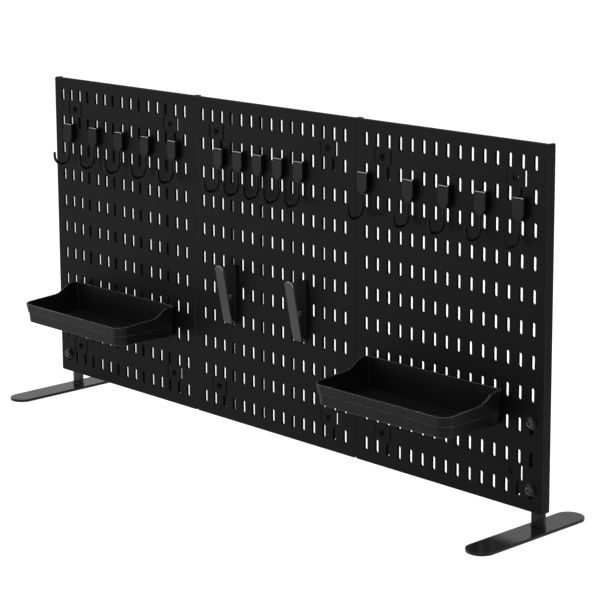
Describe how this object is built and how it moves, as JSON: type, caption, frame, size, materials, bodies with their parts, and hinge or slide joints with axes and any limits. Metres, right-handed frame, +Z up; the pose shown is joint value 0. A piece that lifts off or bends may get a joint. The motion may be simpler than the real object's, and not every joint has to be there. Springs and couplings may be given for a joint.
{
  "type": "pegboard tool wall",
  "caption": "Free-standing slotted pegboard wall in linked panels on flat steel feet, with lift-off J hooks, lift-off trays and screwed tool holders.",
  "frame": {"origin": "on the floor under the middle of the wall and of its feet", "axes": "+X along the wall to the right seen from the front, +Y to the back of the wall, +Z up; the front faces -Y"},
  "size_m": [0.9556, 0.2, 0.477],
  "materials": {
    "panel_plastic": "black moulded plastic with a fine spark-eroded grain",
    "hook_plastic": "black moulded plastic, semi-gloss",
    "tray_plastic": "black moulded plastic, satin",
    "holder_plastic": "dark grey moulded plastic, satin",
    "foot_steel": "black powder coat, semi-gloss",
    "black_steel": "black oxide steel, oiled",
    "plain_steel": "zinc-plated steel"
  },
  "bodies": {
    "root": {"left_panel": "panel_plastic", "middle_panel": "panel_plastic", "right_panel": "panel_plastic", "left_seam_bolt_1": "black_steel", "left_seam_nut_1": "plain_steel", "left_seam_bolt_2": "black_steel", "left_seam_nut_2": "plain_steel", "left_seam_bolt_3": "black_steel", "left_seam_nut_3": "plain_steel", "right_seam_bolt_1": "black_steel", "right_seam_nut_1": "plain_steel", "right_seam_bolt_2": "black_steel", "right_seam_nut_2": "plain_steel", "right_seam_bolt_3": "black_steel", "right_seam_nut_3": "plain_steel", "left_foot": "foot_steel", "left_foot_upper_washer": "black_steel", "left_foot_upper_screw": "black_steel", "left_foot_upper_spacer": "black_steel", "left_foot_upper_nut": "plain_steel", "left_foot_lower_washer": "black_steel", "left_foot_lower_screw": "black_steel", "left_foot_lower_spacer": "black_steel", "left_foot_lower_nut": "plain_steel", "right_foot": "foot_steel", "right_foot_upper_washer": "black_steel", "right_foot_upper_screw": "black_steel", "right_foot_upper_spacer": "black_steel", "right_foot_upper_nut": "plain_steel", "right_foot_lower_washer": "black_steel", "right_foot_lower_screw": "black_steel", "right_foot_lower_spacer": "black_steel", "right_foot_lower_nut": "plain_steel", "left_holder": "holder_plastic", "left_holder_screw": "black_steel", "left_holder_nut": "plain_steel", "right_holder": "holder_plastic", "right_holder_screw": "black_steel", "right_holder_nut": "plain_steel"},
    "left_hook_1": {"left_hook_1": "hook_plastic"},
    "left_hook_2": {"left_hook_2": "hook_plastic"},
    "left_hook_3": {"left_hook_3": "hook_plastic"},
    "left_hook_4": {"left_hook_4": "hook_plastic"},
    "left_hook_5": {"left_hook_5": "hook_plastic"},
    "middle_hook_1": {"middle_hook_1": "hook_plastic"},
    "middle_hook_2": {"middle_hook_2": "hook_plastic"},
    "middle_hook_3": {"middle_hook_3": "hook_plastic"},
    "middle_hook_4": {"middle_hook_4": "hook_plastic"},
    "middle_hook_5": {"middle_hook_5": "hook_plastic"},
    "right_hook_1": {"right_hook_1": "hook_plastic"},
    "right_hook_2": {"right_hook_2": "hook_plastic"},
    "right_hook_3": {"right_hook_3": "hook_plastic"},
    "right_hook_4": {"right_hook_4": "hook_plastic"},
    "right_hook_5": {"right_hook_5": "hook_plastic"},
    "left_tray": {"left_tray": "tray_plastic"},
    "right_tray": {"right_tray": "tray_plastic"}
  },
  "joints": [
    {"name": "left_hook_1_lift", "type": "slide", "parent": "root", "child": "left_hook_1", "axis": [0, 0, 1], "range_m": [0, 0.0125]},
    {"name": "left_hook_2_lift", "type": "slide", "parent": "root", "child": "left_hook_2", "axis": [0, 0, 1], "range_m": [0, 0.0125]},
    {"name": "left_hook_3_lift", "type": "slide", "parent": "root", "child": "left_hook_3", "axis": [0, 0, 1], "range_m": [0, 0.0125]},
    {"name": "left_hook_4_lift", "type": "slide", "parent": "root", "child": "left_hook_4", "axis": [0, 0, 1], "range_m": [0, 0.0125]},
    {"name": "left_hook_5_lift", "type": "slide", "parent": "root", "child": "left_hook_5", "axis": [0, 0, 1], "range_m": [0, 0.0125]},
    {"name": "middle_hook_1_lift", "type": "slide", "parent": "root", "child": "middle_hook_1", "axis": [0, 0, 1], "range_m": [0, 0.0125]},
    {"name": "middle_hook_2_lift", "type": "slide", "parent": "root", "child": "middle_hook_2", "axis": [0, 0, 1], "range_m": [0, 0.0125]},
    {"name": "middle_hook_3_lift", "type": "slide", "parent": "root", "child": "middle_hook_3", "axis": [0, 0, 1], "range_m": [0, 0.0125]},
    {"name": "middle_hook_4_lift", "type": "slide", "parent": "root", "child": "middle_hook_4", "axis": [0, 0, 1], "range_m": [0, 0.0125]},
    {"name": "middle_hook_5_lift", "type": "slide", "parent": "root", "child": "middle_hook_5", "axis": [0, 0, 1], "range_m": [0, 0.0125]},
    {"name": "right_hook_1_lift", "type": "slide", "parent": "root", "child": "right_hook_1", "axis": [0, 0, 1], "range_m": [0, 0.0125]},
    {"name": "right_hook_2_lift", "type": "slide", "parent": "root", "child": "right_hook_2", "axis": [0, 0, 1], "range_m": [0, 0.0125]},
    {"name": "right_hook_3_lift", "type": "slide", "parent": "root", "child": "right_hook_3", "axis": [0, 0, 1], "range_m": [0, 0.0125]},
    {"name": "right_hook_4_lift", "type": "slide", "parent": "root", "child": "right_hook_4", "axis": [0, 0, 1], "range_m": [0, 0.0125]},
    {"name": "right_hook_5_lift", "type": "slide", "parent": "root", "child": "right_hook_5", "axis": [0, 0, 1], "range_m": [0, 0.0125]},
    {"name": "left_tray_lift", "type": "slide", "parent": "root", "child": "left_tray", "axis": [0, 0, 1], "range_m": [0, 0.0125]},
    {"name": "right_tray_lift", "type": "slide", "parent": "root", "child": "right_tray", "axis": [0, 0, 1], "range_m": [0, 0.0125]}
  ]
}
